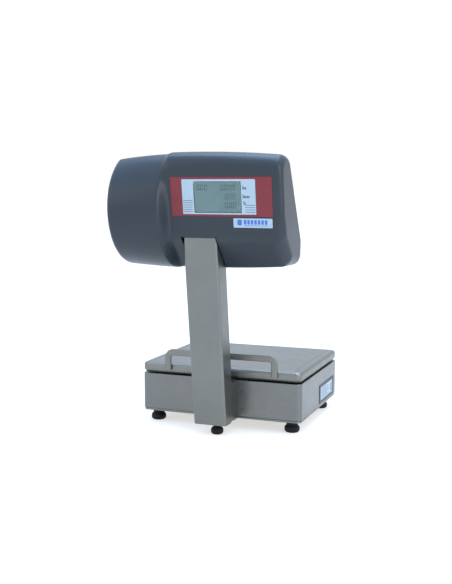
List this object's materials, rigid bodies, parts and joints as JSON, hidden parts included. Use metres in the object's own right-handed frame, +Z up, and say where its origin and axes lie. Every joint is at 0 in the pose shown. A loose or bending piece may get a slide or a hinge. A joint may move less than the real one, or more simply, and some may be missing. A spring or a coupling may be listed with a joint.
{
  "type": "label printing scale",
  "caption": "Counter scale with a stainless pan, a leaning column and a moulded head that holds displays, keyboard and label printer.",
  "frame": {"origin": "on the floor, at the middle of the outline of the whole object", "axes": "+Z up; the customer stands at -Y and reads the framed display; the operator stands at +Y; +X to the customer's right"},
  "size_m": [0.36, 0.4535, 0.576],
  "materials": {
    "stainless_steel": "brushed stainless steel, satin",
    "column_steel": "satin stainless steel, brushed along the column",
    "zinc_steel": "zinc plated sheet steel",
    "cast_aluminium": "machined aluminium",
    "head_plastic": "moulded dark blue-grey plastic, fine texture",
    "black_plastic": "black moulded plastic",
    "red_plastic": "crimson printed film, semi-gloss",
    "white_plastic": "pale blue-white plastic, semi-gloss",
    "display_film": "grey-green reflective segment display",
    "clear_glass": "clear window",
    "circuit_board": "green circuit board",
    "key_plastic": "light grey key caps",
    "keyboard_film": "printed keyboard film",
    "label_paper": "thermal label stock",
    "platen_rubber": "soft roller rubber",
    "lever_plastic": "green moulded plastic"
  },
  "bodies": {
    "body": {"base_tray": "zinc_steel", "base_housing": "stainless_steel", "load_cell_spacer": "zinc_steel", "load_cell": "cast_aluminium", "pan_support": "cast_aluminium", "spirit_level": "clear_glass", "data_plate": "black_plastic", "power_supply": "circuit_board", "power_inlet": "black_plastic", "switch_frame": "black_plastic", "data_socket": "black_plastic", "column_cover": "column_steel", "column_spine": "zinc_steel", "column_block": "column_steel", "head_bracket": "zinc_steel", "head_shell": "head_plastic", "operator_panel": "head_plastic", "keyboard_overlay": "keyboard_film", "operator_window": "clear_glass", "operator_display": "display_film", "main_board": "circuit_board", "display_fascia": "red_plastic", "display_bezel": "white_plastic", "display_window": "clear_glass", "customer_display": "display_film", "name_plate": "white_plastic", "printer_frame": "zinc_steel", "feed_motor": "black_plastic", "peel_bar": "stainless_steel"},
    "pan": {"weighing_pan": "stainless_steel", "goods_rail": "stainless_steel"},
    "foot_customer_left": {"levelling_foot_customer_left": "black_plastic"},
    "foot_customer_right": {"levelling_foot_customer_right": "black_plastic"},
    "foot_operator_left": {"levelling_foot_operator_left": "black_plastic"},
    "foot_operator_right": {"levelling_foot_operator_right": "black_plastic"},
    "foot_column": {"levelling_foot_column": "black_plastic"},
    "key_00": {"key_00": "key_plastic"},
    "key_0": {"key_0": "key_plastic"},
    "key_clear": {"key_clear": "key_plastic"},
    "key_1": {"key_1": "key_plastic"},
    "key_2": {"key_2": "key_plastic"},
    "key_3": {"key_3": "key_plastic"},
    "key_4": {"key_4": "key_plastic"},
    "key_5": {"key_5": "key_plastic"},
    "key_6": {"key_6": "key_plastic"},
    "key_7": {"key_7": "key_plastic"},
    "key_8": {"key_8": "key_plastic"},
    "key_9": {"key_9": "key_plastic"},
    "rocker": {"power_switch_rocker": "red_plastic"},
    "door": {"printer_door": "head_plastic"},
    "print_head_arm": {"head_arm": "lever_plastic", "print_head": "cast_aluminium"},
    "roll": {"label_roll": "label_paper", "roll_hub": "black_plastic"},
    "guide": {"guide_roller": "black_plastic"},
    "rewinder": {"liner_rewinder": "black_plastic", "rewinder_gear": "white_plastic"},
    "platen": {"platen_roller": "platen_rubber", "platen_gear": "white_plastic"},
    "pinion": {"motor_pinion": "white_plastic"}
  },
  "joints": [
    {"name": "pan_lift", "type": "slide", "parent": "body", "child": "pan", "axis": [0, 0, 1], "range_m": [0, 0.06]},
    {"name": "foot_customer_left_screw", "type": "slide", "parent": "body", "child": "foot_customer_left", "axis": [0, 0, -1], "range_m": [0, 0.01]},
    {"name": "foot_customer_right_screw", "type": "slide", "parent": "body", "child": "foot_customer_right", "axis": [0, 0, -1], "range_m": [0, 0.01]},
    {"name": "foot_operator_left_screw", "type": "slide", "parent": "body", "child": "foot_operator_left", "axis": [0, 0, -1], "range_m": [0, 0.01]},
    {"name": "foot_operator_right_screw", "type": "slide", "parent": "body", "child": "foot_operator_right", "axis": [0, 0, -1], "range_m": [0, 0.01]},
    {"name": "foot_column_screw", "type": "slide", "parent": "body", "child": "foot_column", "axis": [0, 0, -1], "range_m": [0, 0.01]},
    {"name": "key_00_press", "type": "slide", "parent": "body", "child": "key_00", "axis": [0, -0.8746, -0.4848], "range_m": [0, 0.002], "stiffness_N_per_m": 200, "springref_m": -0.001},
    {"name": "key_0_press", "type": "slide", "parent": "body", "child": "key_0", "axis": [0, -0.8746, -0.4848], "range_m": [0, 0.002], "stiffness_N_per_m": 200, "springref_m": -0.001},
    {"name": "key_clear_press", "type": "slide", "parent": "body", "child": "key_clear", "axis": [0, -0.8746, -0.4848], "range_m": [0, 0.002], "stiffness_N_per_m": 200, "springref_m": -0.001},
    {"name": "key_1_press", "type": "slide", "parent": "body", "child": "key_1", "axis": [0, -0.8746, -0.4848], "range_m": [0, 0.002], "stiffness_N_per_m": 200, "springref_m": -0.001},
    {"name": "key_2_press", "type": "slide", "parent": "body", "child": "key_2", "axis": [0, -0.8746, -0.4848], "range_m": [0, 0.002], "stiffness_N_per_m": 200, "springref_m": -0.001},
    {"name": "key_3_press", "type": "slide", "parent": "body", "child": "key_3", "axis": [0, -0.8746, -0.4848], "range_m": [0, 0.002], "stiffness_N_per_m": 200, "springref_m": -0.001},
    {"name": "key_4_press", "type": "slide", "parent": "body", "child": "key_4", "axis": [0, -0.8746, -0.4848], "range_m": [0, 0.002], "stiffness_N_per_m": 200, "springref_m": -0.001},
    {"name": "key_5_press", "type": "slide", "parent": "body", "child": "key_5", "axis": [0, -0.8746, -0.4848], "range_m": [0, 0.002], "stiffness_N_per_m": 200, "springref_m": -0.001},
    {"name": "key_6_press", "type": "slide", "parent": "body", "child": "key_6", "axis": [0, -0.8746, -0.4848], "range_m": [0, 0.002], "stiffness_N_per_m": 200, "springref_m": -0.001},
    {"name": "key_7_press", "type": "slide", "parent": "body", "child": "key_7", "axis": [0, -0.8746, -0.4848], "range_m": [0, 0.002], "stiffness_N_per_m": 200, "springref_m": -0.001},
    {"name": "key_8_press", "type": "slide", "parent": "body", "child": "key_8", "axis": [0, -0.8746, -0.4848], "range_m": [0, 0.002], "stiffness_N_per_m": 200, "springref_m": -0.001},
    {"name": "key_9_press", "type": "slide", "parent": "body", "child": "key_9", "axis": [0, -0.8746, -0.4848], "range_m": [0, 0.002], "stiffness_N_per_m": 200, "springref_m": -0.001},
    {"name": "power_switch_tilt", "type": "hinge", "parent": "body", "child": "rocker", "pos_m": [-0.175, 0.11675, 0.052], "axis": [0, 0, 1], "range_deg": [0, 15]},
    {"name": "printer_door_hinge", "type": "hinge", "parent": "body", "child": "door", "pos_m": [-0.11, -0.14091, 0.522], "axis": [1, 0, 0], "range_deg": [0, 95]},
    {"name": "head_arm_hinge", "type": "hinge", "parent": "body", "child": "print_head_arm", "pos_m": [-0.1, -0.11825, 0.428], "axis": [1, 0, 0], "range_deg": [0, 20]},
    {"name": "label_roll_spin", "type": "hinge", "parent": "body", "child": "roll", "pos_m": [-0.1, -0.16525, 0.462], "axis": [1, 0, 0], "continuous": true},
    {"name": "guide_roller_spin", "type": "hinge", "parent": "body", "child": "guide", "pos_m": [-0.1, -0.12625, 0.404], "axis": [1, 0, 0], "continuous": true},
    {"name": "rewinder_spin", "type": "hinge", "parent": "body", "child": "rewinder", "pos_m": [-0.1, -0.14625, 0.388], "axis": [1, 0, 0], "continuous": true},
    {"name": "platen_spin", "type": "hinge", "parent": "body", "child": "platen", "pos_m": [-0.1, -0.09825, 0.404], "axis": [1, 0, 0], "continuous": true},
    {"name": "pinion_spin", "type": "hinge", "parent": "body", "child": "pinion", "pos_m": [-0.1, -0.1235, 0.40756], "axis": [1, 0, 0], "continuous": true}
  ],
  "couplings": [
    {"joint": "platen_spin", "follows": "rewinder_spin", "ratio": 1.3333},
    {"joint": "pinion_spin", "follows": "rewinder_spin", "ratio": -1.5}
  ]
}
